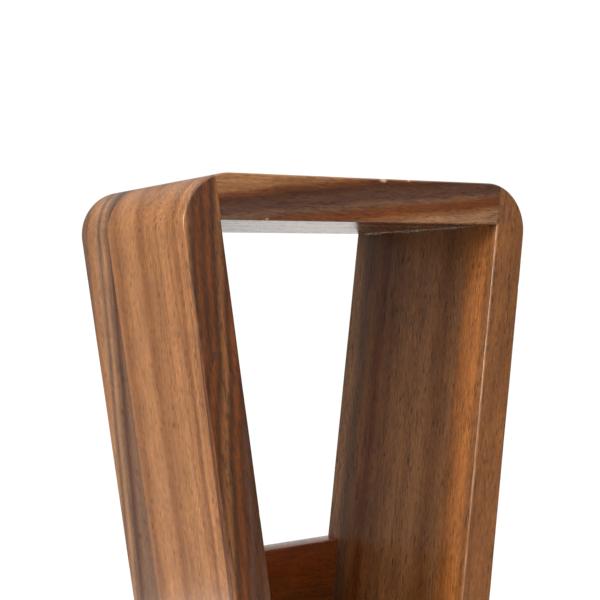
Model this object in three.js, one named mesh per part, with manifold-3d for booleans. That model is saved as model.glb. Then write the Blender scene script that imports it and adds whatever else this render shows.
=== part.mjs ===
// Magazine rack: two raked sides joined by a thick top board, with a trough between them at the foot.
// Millimetres, +Z up, X across the rack, -Y towards the front, origin on the floor under the middle.
import * as THREE from 'three';
import { mergeVertices } from 'three/addons/utils/BufferGeometryUtils.js';
import Module from 'manifold-3d';

const wasm = await Module();
wasm.setup();

// Overall sizes
const HEIGHT = 640;
const DEPTH = 275;
const WIDTH_AT_TOP = 432;
const RAKE = THREE.MathUtils.degToRad(7.6);
const SIDE_THICKNESS = 40;
const TOP_THICKNESS = 45;
const CORNER_RADIUS = 50;
const ARRIS = 2;
const ARRIS_STEPS = 2;
const CORNER_STEPS = 14;

// Trough at the foot of the rack
const PANEL_THICKNESS = 26;
const PANEL_TOPS = { front: 170, back: 204 };
const FLOOR_THICKNESS = 26;
const FLOOR_TOP = 48;

// Every glued joint is drawn with this much room between the two faces
const JOINT_GAP = 0.2;
const HOLE_GAP = 0.25;
const HOLE_DEEPER = 1;

// Edge-glued staves: each wide board is three staves meeting at these depths
const STAVE_JOINTS = [-45, 55];

// Dowels
const TOP_DOWEL_RADIUS = 5;
const TOP_DOWEL_IN_SIDE = 16;
const TOP_DOWEL_IN_BOARD = 34;
const TOP_DOWEL_HEIGHT = 616;
const TOP_DOWEL_DEPTHS = [-105, -35, 35, 105];
const LOW_DOWEL_RADIUS = 4;
const LOW_DOWEL_HALF_LENGTH = 22;
const FLOOR_DOWEL_DEPTHS = [-91, 5, 96];
const PANEL_DOWEL_HEIGHTS = [84, 146];
const DOWEL_CHAMFER = 0.8;

// Screws up through the trough floor into the panels
const SCREW_SPACING = 62;
const SCREW_RADIUS = 2;
const SCREW_HEAD_RADIUS = 4;
const SCREW_HEAD_RIM = 0.15;
const SCREW_HEAD_DEPTH = 2.6;
const SCREW_SUNK = 0.6;
const SCREW_LENGTH = 50;
const SCREW_POINT = 5;
const SCREW_HOLE_RIM = 0.4;

// Nail-on floor glides
const GLIDE_RADIUS = 10;
const GLIDE_HEIGHT = 3;
const GLIDE_CHAMFER = 0.8;
const GLIDE_PIN_RADIUS = 1.3;
const GLIDE_PIN_LENGTH = 14;
const GLIDE_PIN_POINT = 2;
const GLIDE_DEPTH_INSET = 24;

const PANEL_ARRIS_STEPS = 3;
const ROUND_STEPS = 16;
const BEYOND = 20;
const FAR = 1000;

const slope = Math.tan(RAKE);
const sideAcross = SIDE_THICKNESS / Math.cos(RAKE);
const footHeight = GLIDE_HEIGHT + JOINT_GAP;
const panelMiddle = DEPTH / 2 - PANEL_THICKNESS / 2;
const floorBottom = FLOOR_TOP - FLOOR_THICKNESS;

// Half width of the rack at a height, to the outer and to the inner face of a side
function outerAt(z) {
  return WIDTH_AT_TOP / 2 - (HEIGHT - z) * slope;
}

function innerAt(z) {
  return outerAt(z) - sideAcross;
}

// Solids
function toSolid(geometry) {
  geometry.deleteAttribute('normal');
  geometry.deleteAttribute('uv');
  const merged = mergeVertices(geometry, 1e-4);
  const vertProperties = new Float32Array(merged.attributes.position.array);
  const triVerts = new Uint32Array(merged.index.array);
  return new wasm.Manifold(new wasm.Mesh({ numProp: 3, vertProperties, triVerts }));
}

function toGeometry(solid) {
  const data = solid.getMesh();
  const geometry = new THREE.BufferGeometry();
  geometry.setAttribute('position', new THREE.BufferAttribute(new Float32Array(data.vertProperties), 3));
  geometry.setIndex(new THREE.BufferAttribute(new Uint32Array(data.triVerts), 1));
  geometry.computeVertexNormals();
  return geometry;
}

// An outline drawn in X and Z, pushed through the depth from yFrom to yTo
function throughDepth(points, yFrom, yTo, arris = 0) {
  const shape = new THREE.Shape(points.map(([x, z]) => new THREE.Vector2(x, z)));
  const geometry = new THREE.ExtrudeGeometry(shape, {
    depth: yTo - yFrom - 2 * arris,
    bevelEnabled: arris > 0,
    bevelThickness: arris,
    bevelSize: arris,
    bevelOffset: -arris,
    bevelSegments: ARRIS_STEPS,
    curveSegments: 1,
  });
  const turn = new THREE.Matrix4().makeBasis(
    new THREE.Vector3(1, 0, 0),
    new THREE.Vector3(0, 0, 1),
    new THREE.Vector3(0, -1, 0),
  );
  geometry.applyMatrix4(turn);
  geometry.translate(0, yTo - arris, 0);
  return toSolid(geometry);
}

// An outline drawn in Y and Z, pushed across the rack
function across(points, halfWidth) {
  const shape = new THREE.Shape(points.map(([y, z]) => new THREE.Vector2(y, z)));
  const geometry = new THREE.ExtrudeGeometry(shape, { depth: 2 * halfWidth, bevelEnabled: false });
  const turn = new THREE.Matrix4().makeBasis(
    new THREE.Vector3(0, 1, 0),
    new THREE.Vector3(0, 0, 1),
    new THREE.Vector3(1, 0, 0),
  );
  geometry.applyMatrix4(turn);
  geometry.translate(-halfWidth, 0, 0);
  return toSolid(geometry);
}

// A turned solid from [radius, distance] pairs, its axis run from a point along a direction
function turned(profile, from, direction) {
  const geometry = new THREE.LatheGeometry(
    profile.map(([radius, distance]) => new THREE.Vector2(radius, distance)),
    ROUND_STEPS,
  );
  const up = new THREE.Vector3(0, 1, 0);
  const turn = new THREE.Quaternion().setFromUnitVectors(up, direction.clone().normalize());
  geometry.applyQuaternion(turn);
  geometry.translate(from.x, from.y, from.z);
  return toSolid(geometry);
}

// Points round a quarter-like arc from one angle to another
function arc(cx, cz, radius, fromAngle, toAngle, steps) {
  const points = [];
  for (let i = 0; i <= steps; i += 1) {
    const angle = fromAngle + (toAngle - fromAngle) * (i / steps);
    points.push([cx + radius * Math.cos(angle), cz + radius * Math.sin(angle)]);
  }
  return points;
}

// Where things go
const group = new THREE.Group();
const walnut = { color: 0x6b4227, roughness: 0.35, metalness: 0 };
const beech = { color: 0xc9a57a, roughness: 0.7, metalness: 0 };
const zinc = { color: 0xb9bcc0, roughness: 0.35, metalness: 1 };
const nylon = { color: 0x4a3628, roughness: 0.6, metalness: 0 };

function addNode(name, solid, look) {
  const mesh = new THREE.Mesh(toGeometry(solid), new THREE.MeshStandardMaterial(look));
  mesh.name = name;
  group.add(mesh);
}

function addWithHoles(name, solid, holes) {
  let piece = solid;
  for (const hole of holes) {
    piece = piece.subtract(hole);
  }
  addNode(name, piece, walnut);
}

// The arch: both sides and the top board in one outline, cut apart along the joints further down
function archOutline() {
  const cornerZ = HEIGHT - CORNER_RADIUS;
  const cornerX = outerAt(cornerZ) - CORNER_RADIUS / Math.cos(RAKE);
  const right = arc(cornerX, cornerZ, CORNER_RADIUS, -RAKE, Math.PI / 2, CORNER_STEPS);
  const left = right.map(([x, z]) => [-x, z]).reverse();
  const underTop = HEIGHT - TOP_THICKNESS;
  return [
    [innerAt(footHeight), footHeight],
    [outerAt(footHeight), footHeight],
    ...right,
    ...left,
    [-outerAt(footHeight), footHeight],
    [-innerAt(footHeight), footHeight],
    [-innerAt(underTop), underTop],
    [innerAt(underTop), underTop],
  ];
}

// The space between the inner faces of the sides, drawn smaller by a gap
function betweenSides(gap) {
  const inset = gap / Math.cos(RAKE);
  const low = -BEYOND;
  const high = HEIGHT + BEYOND;
  const outline = [
    [-innerAt(low) + inset, low],
    [innerAt(low) - inset, low],
    [innerAt(high) - inset, high],
    [-innerAt(high) + inset, high],
  ];
  return throughDepth(outline, -DEPTH, DEPTH);
}

// The space on one hand of the rack beyond the inner face of that side
function besideOf(hand) {
  const low = -BEYOND;
  const high = HEIGHT + BEYOND;
  const outline = [
    [innerAt(low), low],
    [FAR, low],
    [FAR, high],
    [innerAt(high), high],
  ];
  const placed = hand > 0 ? outline : outline.map(([x, z]) => [-x, z]).reverse();
  return throughDepth(placed, -DEPTH, DEPTH);
}

// A slab of depth that holds one stave, stopped half a gap short of its neighbours
function staveSlot(index) {
  const from = index === 0 ? -DEPTH : STAVE_JOINTS[index - 1] + JOINT_GAP / 2;
  const to = index === STAVE_JOINTS.length ? DEPTH : STAVE_JOINTS[index] - JOINT_GAP / 2;
  return throughDepth([[-FAR, -FAR], [FAR, -FAR], [FAR, FAR], [-FAR, FAR]], from, to);
}

// A dowel and its two holes, square to the inner face of a side
function dowelAt(hand, y, z, radius, inSide, inBoard) {
  const direction = new THREE.Vector3(hand * Math.cos(RAKE), 0, -Math.sin(RAKE));
  const face = new THREE.Vector3(hand * innerAt(z), y, z);
  const length = inBoard + inSide;
  const dowelProfile = [
    [0, 0],
    [radius - DOWEL_CHAMFER, 0],
    [radius, DOWEL_CHAMFER],
    [radius, length - DOWEL_CHAMFER],
    [radius - DOWEL_CHAMFER, length],
    [0, length],
  ];
  const holeRadius = radius + HOLE_GAP;
  const holeLength = length + 2 * HOLE_DEEPER;
  const holeProfile = [[0, 0], [holeRadius, 0], [holeRadius, holeLength], [0, holeLength]];
  const dowelFrom = face.clone().addScaledVector(direction, -inBoard);
  const holeFrom = face.clone().addScaledVector(direction, -inBoard - HOLE_DEEPER);
  return {
    dowel: turned(dowelProfile, dowelFrom, direction),
    hole: turned(holeProfile, holeFrom, direction),
  };
}

const STAVE_NAMES = ['front', 'middle', 'back'];
const HANDS = [['left', -1], ['right', 1]];
const holes = { left: [], right: [], top: [], floor: [], front: [], back: [] };
const dowels = [];

for (const [handName, hand] of HANDS) {
  TOP_DOWEL_DEPTHS.forEach((y, i) => {
    const made = dowelAt(hand, y, TOP_DOWEL_HEIGHT, TOP_DOWEL_RADIUS, TOP_DOWEL_IN_SIDE, TOP_DOWEL_IN_BOARD);
    dowels.push([`top_dowel_${handName}_${i + 1}`, made.dowel]);
    holes[handName].push(made.hole);
    holes.top.push(made.hole);
  });
  FLOOR_DOWEL_DEPTHS.forEach((y, i) => {
    const z = FLOOR_TOP - FLOOR_THICKNESS / 2;
    const made = dowelAt(hand, y, z, LOW_DOWEL_RADIUS, LOW_DOWEL_HALF_LENGTH, LOW_DOWEL_HALF_LENGTH);
    dowels.push([`floor_dowel_${handName}_${i + 1}`, made.dowel]);
    holes[handName].push(made.hole);
    holes.floor.push(made.hole);
  });
  for (const [panelName, y] of [['front', -panelMiddle], ['back', panelMiddle]]) {
    PANEL_DOWEL_HEIGHTS.forEach((z, i) => {
      const made = dowelAt(hand, y, z, LOW_DOWEL_RADIUS, LOW_DOWEL_HALF_LENGTH, LOW_DOWEL_HALF_LENGTH);
      dowels.push([`${panelName}_panel_dowel_${handName}_${i + 1}`, made.dowel]);
      holes[handName].push(made.hole);
      holes[panelName].push(made.hole);
    });
  }
}

// Countersunk screws, driven straight up, and the countersunk holes that they sit in
const screwProfile = [
  [0, 0],
  [SCREW_HEAD_RADIUS, 0],
  [SCREW_HEAD_RADIUS, SCREW_HEAD_RIM],
  [SCREW_RADIUS, SCREW_HEAD_DEPTH],
  [SCREW_RADIUS, SCREW_LENGTH - SCREW_POINT],
  [0, SCREW_LENGTH],
];
const screwHoleProfile = [
  [0, -SCREW_SUNK - HOLE_DEEPER],
  [SCREW_HEAD_RADIUS + HOLE_GAP, -SCREW_SUNK - HOLE_DEEPER],
  [SCREW_HEAD_RADIUS + HOLE_GAP, SCREW_HOLE_RIM],
  [SCREW_RADIUS + HOLE_GAP, SCREW_HEAD_DEPTH],
  [SCREW_RADIUS + HOLE_GAP, SCREW_LENGTH + HOLE_GAP - SCREW_POINT],
  [0, SCREW_LENGTH + HOLE_GAP],
];

const screws = [];
const straightUp = new THREE.Vector3(0, 0, 1);
for (const [panelName, y] of [['front', -panelMiddle], ['back', panelMiddle]]) {
  [-SCREW_SPACING, 0, SCREW_SPACING].forEach((x, i) => {
    const from = new THREE.Vector3(x, y, floorBottom + SCREW_SUNK);
    screws.push([`${panelName}_panel_screw_${i + 1}`, turned(screwProfile, from, straightUp)]);
    const hole = turned(screwHoleProfile, from, straightUp);
    holes.floor.push(hole);
    holes[panelName].push(hole);
  });
}

// Glides under the four feet, each one disc and pin in a single moulding
const glides = [];
const glideProfile = [
  [0, 0],
  [GLIDE_RADIUS - GLIDE_CHAMFER, 0],
  [GLIDE_RADIUS, GLIDE_CHAMFER],
  [GLIDE_RADIUS, GLIDE_HEIGHT],
  [GLIDE_PIN_RADIUS, GLIDE_HEIGHT],
  [GLIDE_PIN_RADIUS, GLIDE_HEIGHT + GLIDE_PIN_LENGTH - GLIDE_PIN_POINT],
  [0, GLIDE_HEIGHT + GLIDE_PIN_LENGTH],
];
const glideHole = [
  [0, 0],
  [GLIDE_PIN_RADIUS + HOLE_GAP, 0],
  [GLIDE_PIN_RADIUS + HOLE_GAP, GLIDE_HEIGHT + GLIDE_PIN_LENGTH + HOLE_DEEPER],
  [0, GLIDE_HEIGHT + GLIDE_PIN_LENGTH + HOLE_DEEPER],
];
const footMiddle = (innerAt(footHeight) + outerAt(footHeight)) / 2;
for (const [handName, hand] of HANDS) {
  for (const [endName, end] of [['front', -1], ['back', 1]]) {
    const from = new THREE.Vector3(hand * footMiddle, end * (DEPTH / 2 - GLIDE_DEPTH_INSET), 0);
    glides.push([`glide_${endName}_${handName}`, turned(glideProfile, from, straightUp)]);
    holes[handName].push(turned(glideHole, from, straightUp));
  }
}

// Sides and top board, cut from the arch and split into staves
const arch = throughDepth(archOutline(), -DEPTH / 2, DEPTH / 2, ARRIS);
const staveSlots = STAVE_NAMES.map((_, index) => staveSlot(index));
for (const [handName, hand] of HANDS) {
  const side = arch.intersect(besideOf(hand));
  STAVE_NAMES.forEach((staveName, index) => {
    const stave = side.intersect(staveSlots[index]);
    addWithHoles(`${handName}_side_${staveName}`, stave, holes[handName]);
  });
}
const topBoard = arch.intersect(betweenSides(JOINT_GAP));
STAVE_NAMES.forEach((staveName, index) => {
  const stave = topBoard.intersect(staveSlots[index]);
  addWithHoles(`top_board_${staveName}`, stave, holes.top);
});

// Trough floor: flush with the front and back edges of the sides, its lower arrises eased
const floorOutline = [
  [-DEPTH / 2, floorBottom + ARRIS],
  [-DEPTH / 2 + ARRIS, floorBottom],
  [DEPTH / 2 - ARRIS, floorBottom],
  [DEPTH / 2, floorBottom + ARRIS],
  [DEPTH / 2, FLOOR_TOP],
  [-DEPTH / 2, FLOOR_TOP],
];
const roomBetween = betweenSides(JOINT_GAP);
const troughFloor = across(floorOutline, WIDTH_AT_TOP / 2).intersect(roomBetween);
STAVE_NAMES.forEach((staveName, index) => {
  const stave = troughFloor.intersect(staveSlots[index]);
  addWithHoles(`trough_floor_${staveName}`, stave, holes.floor);
});

// Panels stand on the floor, the front one lower than the back one, their two top arrises rounded
function panelOutline(middle, top) {
  const half = PANEL_THICKNESS / 2;
  const low = FLOOR_TOP + JOINT_GAP;
  const right = arc(middle + half - ARRIS, top - ARRIS, ARRIS, 0, Math.PI / 2, PANEL_ARRIS_STEPS);
  const left = arc(middle - half + ARRIS, top - ARRIS, ARRIS, Math.PI / 2, Math.PI, PANEL_ARRIS_STEPS);
  return [[middle - half, low], [middle + half, low], ...right, ...left];
}
for (const [panelName, y] of [['front', -panelMiddle], ['back', panelMiddle]]) {
  const outline = panelOutline(y, PANEL_TOPS[panelName]);
  const panel = across(outline, WIDTH_AT_TOP / 2).intersect(roomBetween);
  addWithHoles(`${panelName}_panel`, panel, holes[panelName]);
}

for (const [name, solid] of dowels) {
  addNode(name, solid, beech);
}
for (const [name, solid] of screws) {
  addNode(name, solid, zinc);
}
for (const [name, solid] of glides) {
  addNode(name, solid, nylon);
}

export default group;
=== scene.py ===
# A wooden magazine rack: two raked sides glued to a thick top board, with a low trough at the foot.
# Metres, +Z up, X across the rack, -Y towards the front; every piece stands where the frame has it.
import math

import bpy
import numpy as np
from mathutils import Matrix, Vector


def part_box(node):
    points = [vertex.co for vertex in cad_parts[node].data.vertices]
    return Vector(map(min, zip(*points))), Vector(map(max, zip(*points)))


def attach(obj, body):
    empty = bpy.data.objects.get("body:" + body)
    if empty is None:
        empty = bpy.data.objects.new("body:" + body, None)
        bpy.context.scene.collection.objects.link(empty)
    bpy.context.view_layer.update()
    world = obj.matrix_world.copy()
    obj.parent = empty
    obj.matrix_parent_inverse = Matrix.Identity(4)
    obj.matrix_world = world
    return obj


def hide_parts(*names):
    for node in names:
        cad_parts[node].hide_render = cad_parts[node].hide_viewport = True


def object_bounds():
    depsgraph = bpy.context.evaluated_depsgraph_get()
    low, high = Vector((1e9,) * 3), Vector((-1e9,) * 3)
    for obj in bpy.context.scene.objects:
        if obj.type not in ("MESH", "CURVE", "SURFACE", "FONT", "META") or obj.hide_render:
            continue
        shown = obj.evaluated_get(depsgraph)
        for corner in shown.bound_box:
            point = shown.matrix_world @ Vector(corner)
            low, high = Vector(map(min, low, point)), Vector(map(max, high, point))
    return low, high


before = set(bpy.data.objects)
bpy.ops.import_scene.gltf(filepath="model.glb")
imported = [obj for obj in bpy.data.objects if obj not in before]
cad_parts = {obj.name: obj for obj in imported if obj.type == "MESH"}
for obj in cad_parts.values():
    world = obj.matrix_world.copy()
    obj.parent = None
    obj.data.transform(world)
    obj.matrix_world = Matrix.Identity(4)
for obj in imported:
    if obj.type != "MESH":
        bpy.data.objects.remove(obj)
cad_low, cad_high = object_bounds()
rack_height = cad_high[2]
rack_front = cad_low[1]
rack_back = cad_high[1]


# ---------------------------------------------------------------------------------------------
# The studio: a camera a little below the top board and to the left, a small pale floor, a soft
# key light from the left and a backdrop that is brightest behind the rack.
camera_heading = math.radians(30.89)
camera_pitch = math.radians(-1.3)
camera_roll = math.radians(-0.70)
camera_place = Vector((-0.6367, -1.0607, rack_height - 0.0981))
camera_data = bpy.data.cameras.new("camera")
camera_data.sensor_width = 36.0
camera_data.lens = 65.7
camera_data.clip_start = 0.05
camera = bpy.data.objects.new("camera", camera_data)
ahead = Vector((
    math.sin(camera_heading) * math.cos(camera_pitch),
    math.cos(camera_heading) * math.cos(camera_pitch),
    math.sin(camera_pitch),
))
level_right = Vector((math.cos(camera_heading), -math.sin(camera_heading), 0.0))
level_up = level_right.cross(ahead)
right = level_right * math.cos(camera_roll) + level_up * math.sin(camera_roll)
up = level_up * math.cos(camera_roll) - level_right * math.sin(camera_roll)
camera.matrix_world = Matrix((
    (right.x, up.x, -ahead.x, camera_place.x),
    (right.y, up.y, -ahead.y, camera_place.y),
    (right.z, up.z, -ahead.z, camera_place.z),
    (0.0, 0.0, 0.0, 1.0),
))
bpy.context.scene.collection.objects.link(camera)
bpy.context.scene.camera = camera
bpy.context.scene.view_settings.view_transform = "Standard"


def add_node(tree, kind, feeds=None, **settings):
    """One shader node. settings are its own properties; feeds give its inputs a value or a socket."""
    node = tree.nodes.new(kind)
    for name, value in settings.items():
        setattr(node, name, value)
    for name, value in (feeds or {}).items():
        if isinstance(value, bpy.types.NodeSocket):
            tree.links.new(value, node.inputs[name])
        else:
            node.inputs[name].default_value = value
    return node


def worked_out(tree, operation, first, second, third=0.0):
    """The result of one sum on two or three values."""
    return add_node(tree, "ShaderNodeMath", {0: first, 1: second, 2: third}, operation=operation).outputs[0]


def smooth_step(tree, value, low, high, dark, bright):
    """A value that passes smoothly from one brightness to another between two places."""
    node = add_node(tree, "ShaderNodeMapRange", {
        "Value": value,
        "From Min": low,
        "From Max": high,
        "To Min": dark,
        "To Max": bright,
    }, interpolation_type="SMOOTHSTEP")
    return node.outputs["Result"]


def studio_world():
    """Light from all round: white where the camera looks past the rack, and for everything else
    a grey room. Its brightness = a backdrop round one heading + a ceiling that brightens upwards +
    a glow from the floor + a soft light in front, each a smooth step of the view's direction."""
    world = bpy.data.worlds.new("studio")
    world.use_nodes = True
    tree = world.node_tree
    tree.nodes.clear()
    looking = add_node(tree, "ShaderNodeTexCoord").outputs["Generated"]
    height = add_node(tree, "ShaderNodeSeparateXYZ", {0: looking}).outputs["Z"]
    backdrop = (math.sin(math.radians(46)), math.cos(math.radians(46)), 0.0)
    upper_left_front = (-0.47, -0.67, 0.57)
    to_backdrop = add_node(tree, "ShaderNodeVectorMath", {0: looking, 1: backdrop}, operation="DOT_PRODUCT")
    to_front = add_node(tree, "ShaderNodeVectorMath", {
        0: looking,
        1: upper_left_front,
    }, operation="DOT_PRODUCT")
    bright = smooth_step(tree, to_backdrop.outputs["Value"], 0.86, 0.97, 0.24, 1.20)
    bright = worked_out(tree, "ADD", bright, smooth_step(tree, height, 0.30, 0.85, 0.0, 1.15))
    bright = worked_out(tree, "ADD", bright, smooth_step(tree, height, -0.10, -0.45, 0.0, 0.12))
    front = smooth_step(tree, to_front.outputs["Value"], 0.2, 0.95, 0.0, 1.1)
    bright = worked_out(tree, "ADD", bright, front)
    room = add_node(tree, "ShaderNodeBackground", {"Strength": bright, "Color": (1.0, 0.985, 0.965, 1.0)})
    paper = add_node(tree, "ShaderNodeBackground", {"Strength": 1.05, "Color": (1.0, 1.0, 1.0, 1.0)})
    seen_by = add_node(tree, "ShaderNodeLightPath").outputs["Is Camera Ray"]
    choose = add_node(tree, "ShaderNodeMixShader", {0: seen_by, 1: room.outputs[0], 2: paper.outputs[0]})
    add_node(tree, "ShaderNodeOutputWorld", {"Surface": choose.outputs[0]})
    return world


bpy.context.scene.world = studio_world()

rack_middle = Vector((0.0, 0.0, rack_height * 0.62))


def softbox(name, heading, rise, distance, width, height, power, colour):
    """A flat lamp aimed at the middle of the rack; heading turns from +Y towards +X, rise is upwards."""
    lamp = bpy.data.lights.new(name, "AREA")
    lamp.shape = "RECTANGLE"
    lamp.size = width
    lamp.size_y = height
    lamp.energy = power
    lamp.color = colour
    thing = bpy.data.objects.new(name, lamp)
    outward = Vector((
        math.sin(heading) * math.cos(rise),
        math.cos(heading) * math.cos(rise),
        math.sin(rise),
    ))
    thing.matrix_world = Matrix.Translation(rack_middle + outward * distance) @ (
        outward.to_track_quat("Z", "Y").to_matrix().to_4x4())
    bpy.context.scene.collection.objects.link(thing)
    return thing


softbox(
    "key_light",
    heading=math.radians(-99),
    rise=math.radians(14),
    distance=2.4,
    width=0.20,
    height=0.50,
    power=44.0,
    colour=(1.0, 0.96, 0.90),
)


def round_floor(radius, rings, spokes):
    """A level disc: rings of growing radius, each turned once round the middle."""
    distance = np.linspace(0.0, radius, rings + 1)[1:]
    angle = np.linspace(0.0, 2 * math.pi, spokes, endpoint=False)
    x = np.outer(distance, np.cos(angle)).ravel()
    y = np.outer(distance, np.sin(angle)).ravel()
    points = np.column_stack((np.append(0.0, x), np.append(0.0, y), np.zeros(rings * spokes + 1)))
    here = np.arange(spokes)
    after = (here + 1) % spokes
    hub = np.stack((np.zeros_like(here), 1 + here, 1 + after), axis=-1)
    inner = 1 + spokes * np.arange(rings - 1)[:, None]
    outer = inner + spokes
    bands = np.stack((inner + here, outer + here, outer + after, inner + after), axis=-1)
    mesh = bpy.data.meshes.new("floor")
    mesh.from_pydata(points.tolist(), [], hub.tolist() + bands.reshape(-1, 4).tolist())
    thing = bpy.data.objects.new("floor", mesh)
    bpy.context.scene.collection.objects.link(thing)
    return thing


floor = round_floor(0.55, 6, 96)
paper_white = bpy.data.materials.new("paper_white")
paper_white.use_nodes = True
matt = paper_white.node_tree.nodes["Principled BSDF"].inputs
matt["Base Color"].default_value = (0.80, 0.80, 0.79, 1.0)
matt["Roughness"].default_value = 0.8
floor.data.materials.append(paper_white)


# ---------------------------------------------------------------------------------------------
# Left side: three staves of walnut, edge-glued into one board 40 mm thick, planed, sawn to the rake
# and rounded over at the top outer corner. The long edges are eased by hand after gluing up.
rake = math.radians(7.6)
width_at_top = 0.432
side_thickness = 0.040
side_across = side_thickness / math.cos(rake)
top_thickness = 0.045
under_top = rack_height - top_thickness
corner_radius = 0.050
arris = 0.002
foot_height = 0.0032
nick_width = 0.0028
stave_names = ("front", "middle", "back")
stave_joints = (rack_front, -0.045, 0.055, rack_back)
glue_line = 0.00003
joint_step = 0.00005


def outer_at(z):
    """Half the rack's width over the outer faces at a height: it narrows downwards by the rake."""
    return width_at_top / 2 - (rack_height - z) * math.tan(rake)


def inner_at(z):
    """Half the width between the inner faces at a height."""
    return outer_at(z) - side_across


def along_arc(middle, radius, first, last, steps):
    """Points on a circle from one angle up to, and without, the last one."""
    angle = first + (last - first) * np.arange(steps) / steps
    return np.column_stack((middle[0] + radius * np.cos(angle), middle[1] + radius * np.sin(angle)))


corner_middle = (
    outer_at(rack_height - corner_radius) - corner_radius / math.cos(rake),
    rack_height - corner_radius,
)
joint_angle = math.acos((corner_radius - side_thickness) / corner_radius) - rake


def on_corner(angle):
    """A point on the rounded corner, at an angle up from level."""
    return (
        corner_middle[0] + corner_radius * math.cos(angle),
        corner_middle[1] + corner_radius * math.sin(angle),
    )


def side_outline():
    """The right side seen from the front, anticlockwise from the outer heel: up the outer face and
    round the corner, then from the joint down the inner face with as many points. Also the share
    of the arris that each edge gets: none where the side is glued to the top board."""
    heel = (outer_at(foot_height), foot_height)
    outer_face = np.linspace(heel, on_corner(-rake), 180, endpoint=False)
    corner = along_arc(corner_middle, corner_radius, -rake, joint_angle, 40)
    up = np.concatenate((outer_face, corner, [on_corner(joint_angle)]))
    toe = (inner_at(foot_height), foot_height)
    joint_foot = (inner_at(under_top), under_top)
    below_joint = (inner_at(under_top) + joint_step, under_top)
    down = np.concatenate(([joint_foot], np.linspace(below_joint, toe, len(up) - 1)))
    share = np.ones(2 * len(up))
    share[len(up) - 1] = 0.0
    return np.concatenate((up, down)), share


def mirrored(points, share):
    """The same outline for the other hand, still anticlockwise. An edge belongs to its first point,
    so the shares are turned back by one place."""
    flipped = points[::-1] * np.array([-1.0, 1.0])
    return flipped, np.roll(share[::-1], -1)


def drawn_in(points, amount):
    """Each corner of an outline slides inwards until both edges beside it have moved in by their
    own amounts. On a straight run it moves square to the edge."""
    step = np.roll(points, -1, axis=0) - points
    length = np.linalg.norm(step, axis=1, keepdims=True)
    outward = np.column_stack((step[:, 1], -step[:, 0])) / length
    before = np.roll(outward, 1, axis=0)
    amount_before = np.roll(amount, 1)
    cross = before[:, 0] * outward[:, 1] - before[:, 1] * outward[:, 0]
    bent = np.abs(cross) > 1e-3
    divisor = np.where(bent, cross, 1.0)
    slide_x = -(amount_before * outward[:, 1] - amount * before[:, 1]) / divisor
    slide_z = -(amount * before[:, 0] - amount_before * outward[:, 0]) / divisor
    mean = (amount + amount_before) / 2
    middle_way = (before + outward) / np.linalg.norm(before + outward, axis=1, keepdims=True)
    straight = -middle_way * mean[:, None]
    return points + np.where(bent[:, None], np.column_stack((slide_x, slide_z)), straight)


def hand_eased(points, seed, nicks):
    """The size of the arris along an outline: a little wider in some places than in others, as a
    hand plane and sandpaper leave it, and knocked in by a bell-shaped nick at each (x, z, depth)."""
    step = np.linalg.norm(np.roll(points, -1, axis=0) - points, axis=1)
    run = np.cumsum(step)
    uneven = 0.11 * np.sin(run / 0.047 + seed) + 0.07 * np.sin(run / 0.019 + 2.3 * seed)
    size = arris * (1.0 + uneven)
    for x, z, depth in nicks:
        away = np.hypot(points[:, 0] - x, points[:, 1] - z)
        size = size + depth * np.exp(-(away / nick_width) ** 2)
    return size


def through_depth(points, share, y_front, y_back, ease_front, ease_back, seed, nicks=()):
    """Rings of an outline at growing depth. Where an end is eased, the ring there is drawn in along
    a quarter circle: inset = size x (1 - cos a), depth = size x (1 - sin a), a from 90 to 0. An
    edge's share of the inset is 0 where it is glued."""
    size = hand_eased(points, seed, nicks)
    steps = []
    for y_end, inward, eased in ((y_front, 1.0, ease_front), (y_back, -1.0, ease_back)):
        end = [(points, y_end, 0.0)]
        if eased:
            end = [(drawn_in(points, size * share * 1.25), y_end, 0.0)]
            for a in np.radians([90.0, 67.5, 45.0, 22.5, 0.0]):
                ring = drawn_in(points, size * share * (1.0 - math.cos(a)))
                end.append((ring, y_end + inward * size * (1.0 - math.sin(a)), math.sin(2 * a)))
            end.append((points, y_end + inward * 1.8 * arris, 0.0))
        steps += end if inward > 0 else end[::-1]
    outlines, depths, turned = zip(*steps)
    rings = np.empty((len(steps), len(points), 3))
    rings[:, :, 0::2] = outlines
    rings[:, :, 1] = [np.broadcast_to(depth, len(points)) for depth in depths]
    return rings, np.array(turned)[:, None] * share


def ringed_piece(name, rings, arris_wear_and_highlight, sharp=25.0):
    """A closed piece from rings of points: neighbouring rings are joined by four-sided faces, and the first
    and last ring are filled by rungs from each point to the one as far from the ring's other end. The
    attribute arris_wear_and_highlight says how far a point is round an arris; the wood paints that arris
    paler, partly as wear and partly as a painted highlight."""
    count, around = rings.shape[:2]
    corner = np.arange(count * around).reshape(count, around)
    beside = np.roll(corner, -1, axis=1)
    walls = np.stack((corner[:-1], corner[1:], beside[1:], beside[:-1]), axis=-1).reshape(-1, 4)
    first = np.arange(around // 2 - 1)
    rungs = np.stack((first, first + 1, around - 2 - first, around - 1 - first), axis=-1)
    last_ring = (count - 1) * around
    faces = np.concatenate((walls, rungs, last_ring + rungs[:, ::-1])).tolist()
    mesh = bpy.data.meshes.new(name)
    mesh.from_pydata(rings.reshape(-1, 3).tolist(), [], faces)
    mark = mesh.attributes.new("arris_wear_and_highlight", "FLOAT", "POINT")
    mark.data.foreach_set("value", arris_wear_and_highlight.ravel().astype(np.float32))
    mesh.polygons.foreach_set("use_smooth", np.ones(len(faces), dtype=bool))
    mesh.update()
    mesh.set_sharp_from_angle(angle=math.radians(sharp))
    thing = bpy.data.objects.new(name, mesh)
    bpy.context.scene.collection.objects.link(thing)
    return thing


def stave_ends(index):
    """Where a stave starts and stops in depth, a hair short of its neighbours."""
    low = stave_joints[index] + (glue_line if index > 0 else 0.0)
    high = stave_joints[index + 1] - (glue_line if index < 2 else 0.0)
    return low, high


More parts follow.
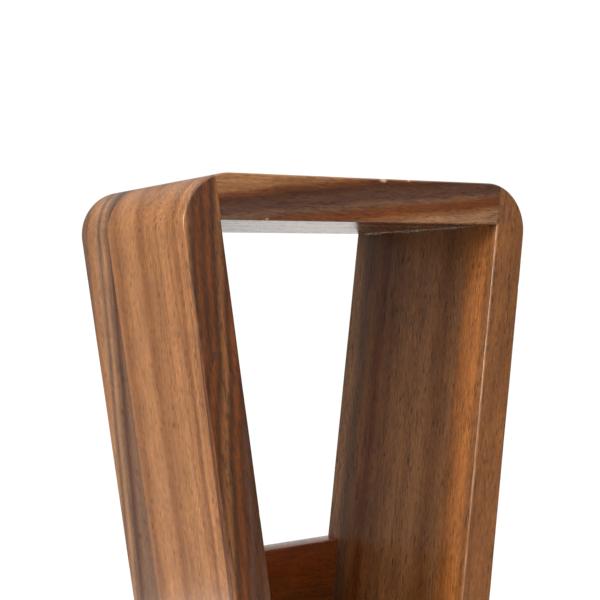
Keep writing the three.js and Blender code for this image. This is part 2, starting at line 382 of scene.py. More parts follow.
def stretched_noise(tree, vector, across, along, detail):
    """Noise whose cells have one width across the grain and another length along it, in metres."""
    scale = (1.0 / across, 1.0 / across, 1.0 / along)
    sized = add_node(tree, "ShaderNodeVectorMath", {0: vector, 1: scale}, operation="MULTIPLY")
    noise = add_node(tree, "ShaderNodeTexNoise", {"Vector": sized.outputs[0], "Scale": 1.0, "Detail": detail})
    return noise.outputs[0]


def remapped(tree, value, from_low, from_high, to_low, to_high):
    """A value carried from one range to another, and held at the ends."""
    node = add_node(tree, "ShaderNodeMapRange", {
        "Value": value,
        "From Min": from_low,
        "From Max": from_high,
        "To Min": to_low,
        "To Max": to_high,
    })
    return node.outputs[0]


def blended(tree, share, first, second, way="MIX"):
    """One colour laid over another by a share."""
    node = add_node(tree, "ShaderNodeMix", {0: share, 6: first, 7: second}, data_type="RGBA", blend_type=way)
    return node.outputs[2]


def new_group(name, inputs, outputs):
    """An empty shader node group with named sockets; each has a kind and, for inputs, a start value."""
    tree = bpy.data.node_groups.new(name, "ShaderNodeTree")
    for label, kind, value in inputs:
        socket = tree.interface.new_socket(label, in_out="INPUT", socket_type="NodeSocket" + kind)
        if value is not None:
            socket.default_value = value
    for label, kind in outputs:
        tree.interface.new_socket(label, in_out="OUTPUT", socket_type="NodeSocket" + kind)
    return tree


def growth_layers():
    """Node group: how far a point lies through the tree's growth layers, in metres. Layer = Y +
    lean x X + run-out x Z + wander x (slow noise - 0.5)."""
    tree = new_group("growth_layers", (
        ("Vector", "Vector", None),
        ("Lean", "Float", -1.0),
        ("Run-out", "Float", 0.0),
        ("Wander", "Float", 0.006),
    ), (("Layer", "Float"),))
    given = add_node(tree, "NodeGroupInput").outputs
    apart = add_node(tree, "ShaderNodeSeparateXYZ", {0: given["Vector"]}).outputs
    slow = stretched_noise(tree, given["Vector"], 0.055, 0.170, 2.0)
    layer = worked_out(tree, "MULTIPLY_ADD", apart["X"], given["Lean"], apart["Y"])
    layer = worked_out(tree, "MULTIPLY_ADD", apart["Z"], given["Run-out"], layer)
    drift = worked_out(tree, "SUBTRACT", slow, 0.5)
    layer = worked_out(tree, "MULTIPLY_ADD", drift, given["Wander"], layer)
    add_node(tree, "NodeGroupOutput", {"Layer": layer})
    return tree


def varnished_grain():
    """Node group: planed and varnished wood over a given tone. Streaks and fibres run along Z, short open
    pores darken it, a slow shimmer lightens it, and eased edges are painted paler, partly as wear and partly
    as a painted highlight."""
    tree = new_group("varnished_grain", (
        ("Vector", "Vector", None),
        ("Tone", "Color", None),
        ("Streaks", "Float", 0.20),
        ("Fibres", "Float", 0.21),
        ("Pores", "Float", 0.75),
        ("Edge_wear_and_highlight", "Float", 0.0),
        ("Wear_and_highlight_strength", "Float", 0.14),
    ), (("Color", "Color"), ("Roughness", "Float"), ("Height", "Float")))
    given = add_node(tree, "NodeGroupInput").outputs
    where = given["Vector"]
    broad = remapped(tree, stretched_noise(tree, where, 0.0085, 0.200, 2.0), 0.3, 0.7, -1.0, 1.0)
    streak = remapped(tree, stretched_noise(tree, where, 0.0024, 0.050, 3.0), 0.3, 0.7, -1.0, 1.0)
    fibre = remapped(tree, stretched_noise(tree, where, 0.0013, 0.007, 3.0), 0.3, 0.7, -1.0, 1.0)
    shimmer = remapped(tree, stretched_noise(tree, where, 0.024, 0.040, 2.0), 0.3, 0.7, -1.0, 1.0)
    crowd = remapped(tree, stretched_noise(tree, where, 0.010, 0.060, 1.0), 0.40, 0.60, 0.25, 1.0)
    dash = remapped(tree, stretched_noise(tree, where, 0.0015, 0.0095, 0.0), 0.57, 0.66, 0.0, 1.0)
    pore = worked_out(tree, "MULTIPLY", worked_out(tree, "MULTIPLY", dash, crowd), given["Pores"])
    both = worked_out(tree, "MULTIPLY_ADD", broad, 0.6, streak)
    light = worked_out(tree, "MULTIPLY_ADD", both, worked_out(tree, "MULTIPLY", given["Streaks"], 0.7), 1.0)
    fine = worked_out(tree, "MULTIPLY_ADD", fibre, given["Fibres"], 1.0)
    glow = worked_out(tree, "MULTIPLY_ADD", shimmer, 0.10, 1.0)
    light = worked_out(tree, "MULTIPLY", worked_out(tree, "MULTIPLY", light, fine), glow)
    shaded = add_node(tree, "ShaderNodeVectorMath", {0: given["Tone"], 3: light}, operation="SCALE")
    warm = remapped(tree, streak, -1.0, 1.0, 0.0, 1.0)
    tint = blended(tree, warm, (0.96, 0.99, 1.16, 1.0), (1.03, 1.01, 0.86, 1.0))
    wood = blended(tree, 1.0, shaded.outputs[0], tint, "MULTIPLY")
    deep = add_node(tree, "ShaderNodeVectorMath", {0: wood, 3: 0.40}, operation="SCALE")
    wood = blended(tree, pore, wood, deep.outputs[0])
    # Paler eased edges, patchy along the arris: partly wear, partly a painted highlight for light caught on
    # the arris.
    patchy = remapped(tree, stretched_noise(tree, where, 0.004, 0.018, 3.0), 0.35, 0.65, 0.15, 1.0)
    wear_and_highlight_share = worked_out(tree, "MULTIPLY", given["Edge_wear_and_highlight"], given["Wear_and_highlight_strength"])
    wear_and_highlight_share = worked_out(tree, "MULTIPLY", wear_and_highlight_share, patchy)
    wood = blended(tree, wear_and_highlight_share, wood, (0.45, 0.25, 0.14, 1.0))
    rough = worked_out(tree, "MULTIPLY_ADD", shimmer, 0.02, 0.22)
    rough = worked_out(tree, "MULTIPLY_ADD", pore, 0.25, rough)
    rough = worked_out(tree, "MULTIPLY_ADD", wear_and_highlight_share, 0.2, rough)
    height = worked_out(tree, "MULTIPLY_ADD", fibre, 0.25, worked_out(tree, "MULTIPLY", pore, -1.0))
    add_node(tree, "NodeGroupOutput", {"Color": wood, "Roughness": rough, "Height": height})
    return tree


layers_group = growth_layers()
grain_group = varnished_grain()


def walnut(name, turn, shift, tones, layers=None, grain=None):
    """Varnished walnut for one stave. turn, about Y, and shift bring its grain onto Z and its outer
    face to X = 0. tones pairs a place in the growth layers, in millimetres, with a colour."""
    material = bpy.data.materials.new(name)
    material.use_nodes = True
    tree = material.node_tree
    where = add_node(tree, "ShaderNodeTexCoord").outputs["Object"]
    placed = add_node(tree, "ShaderNodeMapping", {
        "Vector": where,
        "Rotation": (0.0, turn, 0.0),
        "Location": shift,
    })
    layer = add_node(tree, "ShaderNodeGroup", node_tree=layers_group)
    tree.links.new(placed.outputs[0], layer.inputs["Vector"])
    for socket, value in (layers or {}).items():
        layer.inputs[socket].default_value = value
    first = tones[0][0]
    last = tones[-1][0]
    share = remapped(tree, layer.outputs["Layer"], first / 1000, last / 1000, 0.0, 1.0)
    ramp = add_node(tree, "ShaderNodeValToRGB", {0: share})
    ramp.color_ramp.interpolation = "EASE"
    elements = ramp.color_ramp.elements
    elements[0].color = (*tones[0][1], 1.0)
    elements[1].color = (*tones[-1][1], 1.0)
    for place, colour in tones[1:-1]:
        elements.new((place - first) / (last - first)).color = (*colour, 1.0)
    skin = add_node(tree, "ShaderNodeGroup", node_tree=grain_group)
    tree.links.new(placed.outputs[0], skin.inputs["Vector"])
    tree.links.new(ramp.outputs["Color"], skin.inputs["Tone"])
    # The arris mask drives the paler edges: partly wear, partly a painted highlight.
    wear_and_highlight_attribute = add_node(tree, "ShaderNodeAttribute", attribute_name="arris_wear_and_highlight")
    tree.links.new(wear_and_highlight_attribute.outputs["Fac"], skin.inputs["Edge_wear_and_highlight"])
    for socket, value in (grain or {}).items():
        skin.inputs[socket].default_value = value
    bump = add_node(tree, "ShaderNodeBump", {
        "Strength": 0.3,
        "Distance": 0.0002,
        "Height": skin.outputs["Height"],
    })
    shader = tree.nodes["Principled BSDF"]
    shader.inputs["IOR"].default_value = 1.46
    tree.links.new(skin.outputs["Color"], shader.inputs["Base Color"])
    tree.links.new(skin.outputs["Roughness"], shader.inputs["Roughness"])
    tree.links.new(bump.outputs["Normal"], shader.inputs["Normal"])
    return material


honey = (0.32, 0.138, 0.052)
tan = (0.265, 0.109, 0.038)
russet = (0.205, 0.077, 0.024)
rust = (0.14, 0.037, 0.007)
umber = (0.070, 0.021, 0.005)
plum = (0.085, 0.033, 0.018)
grey_tan = (0.28, 0.136, 0.064)
grey_brown = (0.14, 0.066, 0.032)

side_face = outer_at(0.0) * math.cos(rake)
left_shift = (side_face, 0.0, 0.0)
left_woods = {
    "front": walnut("walnut_left_front", rake, left_shift, (
        (-150, plum),
        (-144, umber),
        (-141, plum),
        (-137.5, umber),
        (-135.5, plum),
        (-134, umber),
        (-132.5, rust),
        (-131, umber),
        (-129.5, russet),
        (-127.5, umber),
        (-126, rust),
        (-124.5, umber),
        (-123, rust),
        (-122, umber),
        (-119, tan),
        (-113, tan),
        (-105, honey),
        (-98, russet),
        (-87, tan),
        (-67, honey),
        (-47, tan),
    ), {"Lean": -0.28, "Run-out": 0.030, "Wander": 0.005}, {"Streaks": 0.30, "Pores": 0.9}),
    "middle": walnut("walnut_left_middle", rake, left_shift, (
        (-90, umber),
        (-62, russet),
        (-44, tan),
        (-24, russet),
        (-4, honey),
        (14, honey),
        (28, tan),
        (42, russet),
        (60, tan),
    ), {"Run-out": 0.01, "Wander": 0.010}),
    "back": walnut("walnut_left_back", rake, left_shift, (
        (40, umber),
        (70, russet),
        (92, grey_brown),
        (120, grey_brown),
        (136, umber),
        (146, grey_brown),
        (158, grey_tan),
        (168, grey_brown),
        (178, grey_tan),
        (194, tan),
        (206, grey_brown),
        (220, grey_brown),
        (236, tan),
    ), {"Run-out": 0.14, "Wander": 0.010}, {"Streaks": 0.30}),
}

right_outline, right_share = side_outline()
left_outline, left_share = mirrored(right_outline, right_share)
left_nicks = (
    (-outer_at(0.498), 0.498, 0.0012),
    (-outer_at(0.236), 0.236, 0.0007),
    (-inner_at(0.310), 0.310, 0.0006),
)
for index, place in enumerate(stave_names):
    low, high = stave_ends(index)
    seed = 4.1 + 1.7 * index
    nicks = left_nicks if place == "front" else ()
    rings, arris_wear_and_highlight = through_depth(left_outline, left_share, low, high, index == 0, index == 2, seed, nicks)
    stave = ringed_piece(f"left_stave_{place}", rings, arris_wear_and_highlight)
    stave.data.materials.append(left_woods[place])
    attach(stave, "root")
    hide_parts(f"left_side_{place}")


# ---------------------------------------------------------------------------------------------
# Right side: the mirror image of the left one, made from three other staves of a more even brown.
# Its front arris is painted paler than the left one's, partly as wear and partly as a painted highlight where
# it catches the light.
right_shift = (-side_face, 0.0, 0.0)
amber = (0.32, 0.112, 0.028)
right_woods = {
    # The strong paler arris on this stave is partly wear and partly a painted highlight.
    "front": walnut("walnut_right_front", -rake, right_shift, (
        (-150, russet),
        (-138, russet),
        (-130, amber),
        (-108, amber),
        (-90, tan),
        (-70, russet),
        (-45, tan),
    ), {"Lean": 0.2, "Wander": 0.005}, {"Pores": 0.85, "Wear_and_highlight_strength": 0.45}),
    "middle": walnut("walnut_right_middle", -rake, right_shift, (
        (-90, tan),
        (-70, honey),
        (-52, tan),
        (-38, honey),
        (-20, tan),
        (0, russet),
        (16, russet),
        (40, tan),
        (56, russet),
    ), {"Lean": 1.0, "Wander": 0.010}, {"Pores": 1.0}),
    "back": walnut("walnut_right_back", -rake, right_shift, (
        (10, russet),
        (24, rust),
        (44, russet),
        (60, grey_brown),
        (84, grey_tan),
        (116, grey_brown),
        (140, russet),
    ), {"Lean": 1.0, "Wander": 0.012}, {"Pores": 1.0}),
}
right_nicks = (
    (outer_at(0.526), 0.526, 0.0010),
    (inner_at(0.447), 0.447, 0.0007),
    (outer_at(0.180), 0.180, 0.0006),
)
for index, place in enumerate(stave_names):
    low, high = stave_ends(index)
    seed = 0.6 + 1.7 * index
    nicks = right_nicks if place == "front" else ()
    rings, arris_wear_and_highlight = through_depth(right_outline, right_share, low, high, index == 0, index == 2, seed, nicks)
    stave = ringed_piece(f"right_stave_{place}", rings, arris_wear_and_highlight)
    stave.data.materials.append(right_woods[place])
    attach(stave, "root")
    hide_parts(f"right_side_{place}")


# ---------------------------------------------------------------------------------------------
# Top board: three staves 45 mm thick laid across the rack, their ends sawn to the rake, glued and
# doweled between the sides so that the top runs over into the rounded corners without a step.
joint_line = 0.00006


def top_outline():
    """The top board seen from the front, anticlockwise from the lower left corner: the underside,
    then the right end of the rounded corner, the top and the left corner with as many points. Also
    the share of the arris that each edge gets: none on the two glued ends."""
    right_corner = along_arc(corner_middle, corner_radius, joint_angle, math.pi / 2, 8)
    right_corner = right_corner - np.array([joint_line, 0.0]) * np.linspace(1.0, 0.0, 8)[:, None]
    left_corner = right_corner[::-1] * np.array([-1.0, 1.0])
    crown = (corner_middle[0], rack_height)
    level = np.linspace(crown, (-crown[0], rack_height), 110)
    over = np.concatenate((right_corner, level, left_corner))
    low = inner_at(under_top) - joint_line
    under = np.linspace((-low, under_top), (low, under_top), len(over))
    share = np.ones(2 * len(over))
    share[len(over) - 1] = 0.0
    share[-1] = 0.0
    return np.concatenate((under, over)), share


lying = math.radians(-90.0)
top_woods = {
    "front": walnut("walnut_top_front", lying, (rack_height, 0.0, 0.0), (
        (-204, grey_tan),
        (-184, grey_tan),
        (-179, russet),
        (-175, rust),
        (-170, rust),
        (-165, grey_brown),
        (-159, plum),
        (-155, plum),
        (-148, umber),
        (-143, rust),
        (-137, tan),
        (-128, honey),
        (-116, russet),
        (-106, tan),
        (-84, honey),
        (-62, russet),
        (-40, tan),
    ), {"Run-out": -0.10, "Wander": 0.018}),
    "middle": walnut("walnut_top_middle", lying, (rack_height, 0.0, 0.0), (
        (-110, umber),
        (-86, russet),
        (-60, rust),
        (-40, russet),
        (-24, tan),
        (-6, russet),
        (14, honey),
        (32, tan),
        (50, russet),
        (62, tan),
    ), {"Run-out": 0.04, "Wander": 0.012}),
    "back": walnut("walnut_top_back", lying, (rack_height, 0.0, 0.0), (
        (0, umber),
        (30, russet),
        (56, grey_brown),
        (72, russet),
        (92, tan),
        (108, russet),
        (122, grey_brown),
        (142, tan),
    ), {"Run-out": 0.02, "Wander": 0.010}),
}


def chipped(material, chips):
    """Small chips in the varnish of a piece, showing pale bare wood. Each is (middle, reach): points
    where the length of (place - middle) / reach is under 1, with a ragged edge."""
    tree = material.node_tree
    shader = tree.nodes["Principled BSDF"]
    colour = shader.inputs["Base Color"].links[0].from_socket
    rough = shader.inputs["Roughness"].links[0].from_socket
    where = add_node(tree, "ShaderNodeTexCoord").outputs["Object"]
    ragged = add_node(tree, "ShaderNodeTexNoise", {"Vector": where, "Scale": 520.0, "Detail": 3.0}).outputs[0]
    for middle, reach in chips:
        offset = add_node(tree, "ShaderNodeVectorMath", {0: where, 1: middle}, operation="SUBTRACT")
        scaled = add_node(tree, "ShaderNodeVectorMath", {0: offset.outputs[0], 1: reach}, operation="DIVIDE")
        away = add_node(tree, "ShaderNodeVectorMath", {0: scaled.outputs[0]}, operation="LENGTH")
        torn = worked_out(tree, "MULTIPLY_ADD", ragged, 1.6, away.outputs["Value"])
        bare = remapped(tree, torn, 1.25, 1.65, 0.65, 0.0)
        colour = blended(tree, bare, colour, (0.58, 0.45, 0.29, 1.0))
        rough = worked_out(tree, "MULTIPLY_ADD", bare, 0.35, rough)
    tree.links.new(colour, shader.inputs["Base Color"])
    tree.links.new(rough, shader.inputs["Roughness"])


large_chip = 0.017
small_chip = 0.050
under_chip = -0.120
chipped(top_woods["front"], (
    ((large_chip, rack_front, 0.6385), (0.0055, 0.0040, 0.0030)),
    ((small_chip, rack_front, 0.6392), (0.0022, 0.0030, 0.0018)),
    ((under_chip, rack_front, 0.5962), (0.0024, 0.0020, 0.0014)),
))
top_nicks = (
    (large_chip, rack_height, 0.0011),
    (small_chip, rack_height, 0.0006),
    (under_chip, under_top, 0.0006),
)
top_points, top_share = top_outline()
for index, place in enumerate(stave_names):
    low, high = stave_ends(index)
    seed = 2.9 + index
    nicks = top_nicks if place == "front" else ()
    rings, arris_wear_and_highlight = through_depth(top_points, top_share, low, high, index == 0, index == 2, seed, nicks)
    stave = ringed_piece(f"top_stave_{place}", rings, arris_wear_and_highlight)
    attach(stave, "root")
    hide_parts(f"top_board_{place}")
    stave.data.materials.append(top_woods[place])


# ---------------------------------------------------------------------------------------------
# Trough floor: three staves 26 mm thick between the sides, doweled into them, flush with their
# front and back edges. Only its outer lower edges are eased.
floor_low, floor_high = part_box("trough_floor_middle")
floor_bottom = floor_low[2]
floor_top = floor_high[2]
crisp = 0.0002
end_gap = 0.0001


def board_outline(y_front, y_back, z_low, z_high, rounding):
    """The end of a board seen from the left: up the front, back over the top, down and forward.
    rounding gives a radius for the corners lower front, upper front, upper back, lower back."""
    corners = (
        (y_front, z_low, 1, 1, -90.0),
        (y_front, z_high, 1, -1, 180.0),
        (y_back, z_high, -1, -1, 90.0),
        (y_back, z_low, -1, 1, 0.0),
    )
    points = []
    arris_wear_and_highlight = []
    for (y, z, side_y, side_z, first), radius in zip(corners, rounding):
        turn = np.radians(first - 90.0 * np.linspace(0.0, 1.0, 6))
        middle = (y + side_y * radius, z + side_z * radius)
        bend = (middle[0] + radius * np.cos(turn), middle[1] + radius * np.sin(turn))
        points.append(np.column_stack(bend))
        arris_wear_and_highlight.append(np.sin(np.linspace(0.0, math.pi, 6)) * (radius > crisp))
    return np.concatenate(points), np.concatenate(arris_wear_and_highlight)


def across_rack(outline, arris_wear_and_highlight, gap):
    """Rings of a board's end outline carried from the left side to the right one. Each point runs
    as far as the raked inner faces leave room at its height, less a gap."""
    reach = inner_at(outline[:, 1]) - gap
    share = np.array([-1.0, -0.997, -0.5, 0.0, 0.5, 0.997, 1.0])
    rings = np.empty((len(share), len(outline), 3))
    rings[:, :, 0] = share[:, None] * reach
    rings[:, :, 1] = outline[:, 0]
    rings[:, :, 2] = outline[:, 1]
    return rings, np.tile(arris_wear_and_highlight, (len(share), 1))


floor_woods = {
    "front": walnut("walnut_floor_front", lying, (floor_top, 0.0, 0.0), (
        (-166, umber),
        (-146, rust),
        (-128, russet),
        (-104, rust),
        (-80, russet),
        (-62, umber),
        (-40, rust),
    ), {"Run-out": 0.03, "Wander": 0.012}),
    "middle": walnut("walnut_floor_middle", lying, (floor_top, 0.0, 0.0), (
        (-76, rust),
        (-52, russet),
        (-30, tan),
        (-8, russet),
        (16, rust),
        (38, russet),
        (60, tan),
    ), {"Run-out": -0.04, "Wander": 0.012}),
    "back": walnut("walnut_floor_back", lying, (floor_top, 0.0, 0.0), (
        (26, russet),
        (52, rust),
        (78, umber),
        (98, rust),
        (118, russet),
        (142, rust),
    ), {"Run-out": 0.02, "Wander": 0.010}),
}

for index, place in enumerate(stave_names):
    low, high = stave_ends(index)
    rounding = (arris if index == 0 else crisp, crisp, crisp, arris if index == 2 else crisp)
    outline, end_wear_and_highlight = board_outline(low, high, floor_bottom, floor_top, rounding)
    rings, arris_wear_and_highlight = across_rack(outline, end_wear_and_highlight, end_gap)
    stave = ringed_piece(f"floor_stave_{place}", rings, arris_wear_and_highlight)
    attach(stave, "root")
    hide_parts(f"trough_floor_{place}")
    stave.data.materials.append(floor_woods[place])


# ---------------------------------------------------------------------------------------------
# Panels: a board 26 mm thick at the front and one at the back close the trough. They stand on its
# floor, flush with the edges of the sides, and their top edges are rounded over with sandpaper.
redwood = (0.17, 0.034, 0.004)
panel_heart_height = 0.110
panel_heart_depth = 0.137
panel_woods = {
    "front": walnut("walnut_front_panel", lying, (panel_heart_height, panel_heart_depth, 0.0), (
        (-70, umber),
        (-46, rust),
        (-24, russet),
        (-4, rust),
        (16, umber),
        (34, russet),
        (58, rust),
        (84, umber),
    ), {"Lean": 1.0, "Run-out": 0.05, "Wander": 0.016}),
    "back": walnut("walnut_back_panel", lying, (panel_heart_height, -panel_heart_depth, 0.0), (
        (-60, rust),
        (-45, redwood),
        (-34, rust),
        (-26, redwood),
        (-19, rust),
        (-13, russet),
        (-7, umber),
        (-2, russet),
        (5, tan),
        (11, russet),
        (18, rust),
    ), {"Lean": 0.25, "Run-out": -0.02, "Wander": 0.014}),
}
for place in ("front", "back"):
    panel_low, panel_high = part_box(f"{place}_panel")
    rounding = (crisp, arris, arris, crisp)
    outline, end_wear_and_highlight = board_outline(panel_low[1], panel_high[1], panel_low[2], panel_high[2], rounding)
    rings, arris_wear_and_highlight = across_rack(outline, end_wear_and_highlight, end_gap)
    panel = ringed_piece(f"{place}_trough_panel", rings, arris_wear_and_highlight)
    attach(panel, "root")
    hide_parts(f"{place}_panel")
    panel.data.materials.append(panel_woods[place])


# ---------------------------------------------------------------------------------------------
# Glue line: a little glue squeezed out where the top board meets the right side, smeared along the
# joint with a finger and never cleaned off. It is thickest towards the back and dies out in front.
def squeezed_glue(y_front, y_back, steps):
    """A fillet in the corner under the top board, carried along the depth. Each ring runs from the
    corner down the side, and back to the underside along a hollow curve; reach = slow waves x fast
    waves x a taper at both ends."""
    y = np.linspace(y_front, y_back, steps)
    along = (y - y_front) / (y_back - y_front)
    taper = np.clip(along / 0.35, 0.06, 1.0) * np.clip((1.0 - along) / 0.05, 0.2, 1.0)
    waves = 0.62 + 0.22 * np.sin(y / 0.013) + 0.16 * np.sin(y / 0.0047 + 1.3) + 0.10 * np.sin(y / 0.0019)
    down = 0.0034 * taper * waves
    inward = 0.0016 * taper * (0.7 + 0.3 * np.sin(y / 0.0081 + 0.6))
    turn = np.linspace(0.0, math.pi / 2, 8)
    sink = 0.0003
    side_x = inner_at(under_top - np.outer(down, 1.0 - np.sin(turn))) + sink * 0.5
    hollow_x = side_x - np.outer(inward, 1.0 - np.cos(turn)) - sink
    hollow_z = under_top - np.outer(down, 1.0 - np.sin(turn))
    rings = np.empty((steps, 10, 3))
    rings[:, :, 1] = y[:, None]
    rings[:, 0, 0] = inner_at(under_top) + sink
    rings[:, 0, 2] = under_top + sink
    rings[:, 1:9, 0] = hollow_x[:, ::-1]
    rings[:, 1:9, 2] = hollow_z[:, ::-1]
    rings[:, 9, 0] = inner_at(under_top - down) + sink
    rings[:, 9, 2] = under_top - down
    return rings


def dried_glue():
    """Wood glue dried to a dull grey cream, thin enough in places for the walnut to show."""
    material = bpy.data.materials.new("dried_glue")
    material.use_nodes = True
    tree = material.node_tree
    where = add_node(tree, "ShaderNodeTexCoord").outputs["Object"]
    patches = add_node(tree, "ShaderNodeTexNoise", {"Vector": where, "Scale": 260.0, "Detail": 3.0})
    thin = remapped(tree, patches.outputs[0], 0.42, 0.60, 0.0, 1.0)
    tone = blended(tree, thin, (0.46, 0.39, 0.32, 1.0), (0.17, 0.085, 0.045, 1.0))
    rough = remapped(tree, thin, 0.0, 1.0, 0.55, 0.35)
    grit = add_node(tree, "ShaderNodeTexNoise", {"Vector": where, "Scale": 900.0, "Detail": 2.0})
    bump = add_node(tree, "ShaderNodeBump", {"Strength": 0.5, "Distance": 0.0002, "Height": grit.outputs[0]})
    shader = tree.nodes["Principled BSDF"]
    tree.links.new(tone, shader.inputs["Base Color"])
    tree.links.new(rough, shader.inputs["Roughness"])
    tree.links.new(bump.outputs["Normal"], shader.inputs["Normal"])
    return material


glue_rings = squeezed_glue(-0.118, 0.132, 220)
glue_smear = ringed_piece("glue_smear_right", glue_rings, np.zeros(glue_rings.shape[:2]), 50.0)
glue_smear.data.materials.append(dried_glue())
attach(glue_smear, "root")


# ---------------------------------------------------------------------------------------------
# Dowels: turned beech pins, hidden in the joints, that hold the top board, the floor and the panels
# to the sides. Bare wood with fine flecks, its grain along the pin, darkened a little by glue.
def bare_beech(name, turn):
    """Unfinished beech with its grain brought onto Z by a turn about Y: pale, with short flecks."""
    material = bpy.data.materials.new(name)
    material.use_nodes = True
    tree = material.node_tree
    where = add_node(tree, "ShaderNodeTexCoord").outputs["Object"]
    placed = add_node(tree, "ShaderNodeMapping", {"Vector": where, "Rotation": (0.0, turn, 0.0)})
    skin = add_node(tree, "ShaderNodeGroup", node_tree=grain_group)
    tree.links.new(placed.outputs[0], skin.inputs["Vector"])
    glue = remapped(tree, stretched_noise(tree, placed.outputs[0], 0.006, 0.012, 3.0), 0.45, 0.7, 0.0, 0.6)
    tone = blended(tree, glue, (0.58, 0.38, 0.20, 1.0), (0.42, 0.24, 0.10, 1.0))
    tree.links.new(tone, skin.inputs["Tone"])
    skin.inputs["Streaks"].default_value = 0.10
    skin.inputs["Fibres"].default_value = 0.10
    skin.inputs["Pores"].default_value = 0.35
    rough = worked_out(tree, "ADD", skin.outputs["Roughness"], 0.35)
    bump = add_node(tree, "ShaderNodeBump", {
        "Strength": 0.6,
        "Distance": 0.0002,
        "Height": skin.outputs["Height"],
    })
    shader = tree.nodes["Principled BSDF"]
    tree.links.new(skin.outputs["Color"], shader.inputs["Base Color"])
    tree.links.new(rough, shader.inputs["Roughness"])
    tree.links.new(bump.outputs["Normal"], shader.inputs["Normal"])
    return material


beech = {
    "left": bare_beech("beech_left_dowels", math.radians(90.0) - rake),
    "right": bare_beech("beech_right_dowels", math.radians(90.0) + rake),
}
for name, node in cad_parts.items():
    if "_dowel_" in name:
        node.data.materials.clear()
        node.data.materials.append(beech["left" if "_left_" in name else "right"])


# ---------------------------------------------------------------------------------------------
# Screws: six countersunk wood screws of zinc-plated steel, driven up through the trough floor into
# the panels until the heads lie just below the wood. The heads have a pressed cross recess.
screw_length = 0.050
screw_head_radius = 0.004
screw_head_depth = 0.0026
thread_crest = 0.0020
thread_root = 0.0014
thread_pitch = 0.0018


def screw_rings(middle_x, middle_y, z_low, around=60):
    """The head's face, its cone, the shank and the point as rings round the axis. The face drops by
    the recess where |x| or |y| is small; the thread is r = root + (crest - root) x (0.5 + 0.5
    cos(2 pi z / pitch - angle)) cubed, fading out under the head and into the point."""
    angle = np.linspace(0.0, 2 * math.pi, around, endpoint=False)
    face = np.linspace(0.00003, screw_head_radius - 0.0002, 16)
    radius = np.repeat(face[:, None], around, axis=1)
    flat_x = radius * np.cos(angle)
    flat_y = radius * np.sin(angle)
    arm = np.maximum(
        np.clip((0.00060 - np.abs(flat_x)) / 0.00022, 0.0, 1.0),
        np.clip((0.00060 - np.abs(flat_y)) / 0.00022, 0.0, 1.0),
    )
    recess = 0.0017 * arm * np.clip(1.0 - radius / 0.0024, 0.0, 1.0) ** 0.6
    cone = np.array([
        (screw_head_radius - 0.00006, 0.00005),
        (screw_head_radius, 0.00015),
        (0.0033, 0.0009),
        (0.0026, 0.0017),
        (thread_crest, screw_head_depth),
    ])
    shank = np.linspace(screw_head_depth + 0.0003, screw_length - 0.0002, 260)
    point = np.clip((screw_length - shank) / 0.005, 0.01, 1.0)
    run_in = np.clip((shank - 0.012) / 0.003, 0.0, 1.0)
    wave = (0.5 + 0.5 * np.cos(2 * math.pi * shank[:, None] / thread_pitch - angle)) ** 3
    threaded = thread_root + (thread_crest - thread_root) * wave
    plain = 0.0019
    shank_radius = (plain + (threaded - plain) * run_in[:, None]) * point[:, None]
    radii = np.concatenate((radius, np.repeat(cone[:, :1], around, axis=1), shank_radius))
    heights = np.concatenate((
        recess,
        np.repeat(cone[:, 1:], around, axis=1),
        np.repeat(shank[:, None], around, axis=1),
    ))
    return np.stack((
        middle_x + radii * np.cos(angle),
        middle_y - radii * np.sin(angle),
        z_low + heights,
    ), axis=-1)


def zinc_plate():
    """Bright zinc over steel, clouded by handling, with a yellow cast in the clouds."""
    material = bpy.data.materials.new("zinc_plate")
    material.use_nodes = True
    tree = material.node_tree
    where = add_node(tree, "ShaderNodeTexCoord").outputs["Object"]
    cloud = add_node(tree, "ShaderNodeTexNoise", {"Vector": where, "Scale": 420.0, "Detail": 3.0})
    share = remapped(tree, cloud.outputs[0], 0.35, 0.65, 0.0, 1.0)
    tone = blended(tree, share, (0.60, 0.61, 0.62, 1.0), (0.52, 0.49, 0.40, 1.0))
    rough = remapped(tree, share, 0.0, 1.0, 0.26, 0.42)
    grit = add_node(tree, "ShaderNodeTexNoise", {"Vector": where, "Scale": 3000.0, "Detail": 2.0})
    bump = add_node(tree, "ShaderNodeBump", {"Strength": 0.2, "Distance": 0.00005, "Height": grit.outputs[0]})
    shader = tree.nodes["Principled BSDF"]
    shader.inputs["Metallic"].default_value = 1.0
    tree.links.new(tone, shader.inputs["Base Color"])
    tree.links.new(rough, shader.inputs["Roughness"])
    tree.links.new(bump.outputs["Normal"], shader.inputs["Normal"])
    return material


plated = zinc_plate()
for place in ("front", "back"):
    for number in (1, 2, 3):
        low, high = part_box(f"{place}_panel_screw_{number}")
        rings = screw_rings((low[0] + high[0]) / 2, (low[1] + high[1]) / 2, low[2])
        screw = ringed_piece(f"{place}_wood_screw_{number}", rings, np.zeros(rings.shape[:2]), 35.0)
        screw.data.materials.append(plated)
        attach(screw, "root")
        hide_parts(f"{place}_panel_screw_{number}")


# ---------------------------------------------------------------------------------------------
# Glides: four brown nylon discs nailed under the feet, each moulded in one piece with its ribbed
# pin. The sole is slightly domed, with a ring round it, and scuffed by the floor.
glide_radius = 0.010
glide_height = 0.003
glide_profile = np.array([
    (0.00002, 0.00010),
    (0.0016, 0.00010),
    (0.0019, 0.00000),
    (0.0055, 0.00000),
    (0.0059, 0.00030),
    (0.0064, 0.00030),
    (0.0068, 0.00002),
    (0.0086, 0.00010),
    (0.0094, 0.00034),
    (0.0098, 0.00074),
    (glide_radius, 0.00130),
    (glide_radius, 0.0027),
    (0.0098, 0.00294),
    (0.0095, glide_height),
    (0.0020, glide_height),
    (0.00125, 0.0034),
])
rib = np.arange(0.0045, 0.0140, 0.0012)
ribs = np.column_stack((
    np.tile((0.00105, 0.0013), len(rib)),
    np.column_stack((rib, rib + 0.0008)).ravel(),
))
pin_point = np.array([(0.0011, 0.0150), (0.0006, 0.0163), (0.00003, 0.0170)])
glide_profile = np.concatenate((glide_profile, ribs, pin_point))


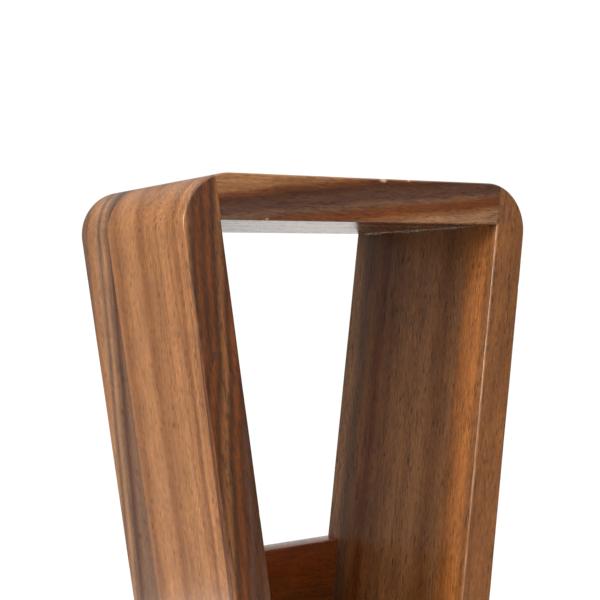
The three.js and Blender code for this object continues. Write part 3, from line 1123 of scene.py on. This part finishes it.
def glide_rings(middle_x, middle_y, z_low, around=48):
    """The profile, from the middle of the sole out to the rim and up the pin, turned once round."""
    angle = np.linspace(0.0, 2 * math.pi, around, endpoint=False)
    return np.stack((
        middle_x + np.outer(glide_profile[:, 0], np.cos(angle)),
        middle_y - np.outer(glide_profile[:, 0], np.sin(angle)),
        z_low + np.repeat(glide_profile[:, 1:], around, axis=1),
    ), axis=-1)


def brown_nylon():
    """Moulded nylon with a fine spark texture, paler where the floor has scuffed it."""
    material = bpy.data.materials.new("brown_nylon")
    material.use_nodes = True
    tree = material.node_tree
    where = add_node(tree, "ShaderNodeTexCoord").outputs["Object"]
    height = add_node(tree, "ShaderNodeSeparateXYZ", {0: where}).outputs["Z"]
    sole = remapped(tree, height, 0.0, 0.0005, 1.0, 0.0)
    scratch = add_node(tree, "ShaderNodeTexNoise", {"Vector": where, "Scale": 700.0, "Detail": 4.0})
    scuffed = worked_out(tree, "MULTIPLY", sole, remapped(tree, scratch.outputs[0], 0.45, 0.6, 0.0, 0.7))
    cloud = add_node(tree, "ShaderNodeTexNoise", {"Vector": where, "Scale": 150.0, "Detail": 2.0})
    brown = blended(tree, cloud.outputs[0], (0.070, 0.038, 0.022, 1.0), (0.095, 0.052, 0.030, 1.0))
    tone = blended(tree, scuffed, brown, (0.22, 0.16, 0.12, 1.0))
    rough = worked_out(tree, "MULTIPLY_ADD", scuffed, 0.25, 0.45)
    spark = add_node(tree, "ShaderNodeTexNoise", {"Vector": where, "Scale": 2600.0, "Detail": 2.0})
    bump = add_node(tree, "ShaderNodeBump", {"Strength": 0.3, "Distance": 0.0001, "Height": spark.outputs[0]})
    shader = tree.nodes["Principled BSDF"]
    tree.links.new(tone, shader.inputs["Base Color"])
    tree.links.new(rough, shader.inputs["Roughness"])
    tree.links.new(bump.outputs["Normal"], shader.inputs["Normal"])
    return material


nylon = brown_nylon()
for place in ("front", "back"):
    for hand in ("left", "right"):
        low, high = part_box(f"glide_{place}_{hand}")
        rings = glide_rings((low[0] + high[0]) / 2, (low[1] + high[1]) / 2, low[2])
        glide = ringed_piece(f"foot_glide_{place}_{hand}", rings, np.zeros(rings.shape[:2]), 30.0)
        glide.data.materials.append(nylon)
        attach(glide, "root")
        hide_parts(f"glide_{place}_{hand}")
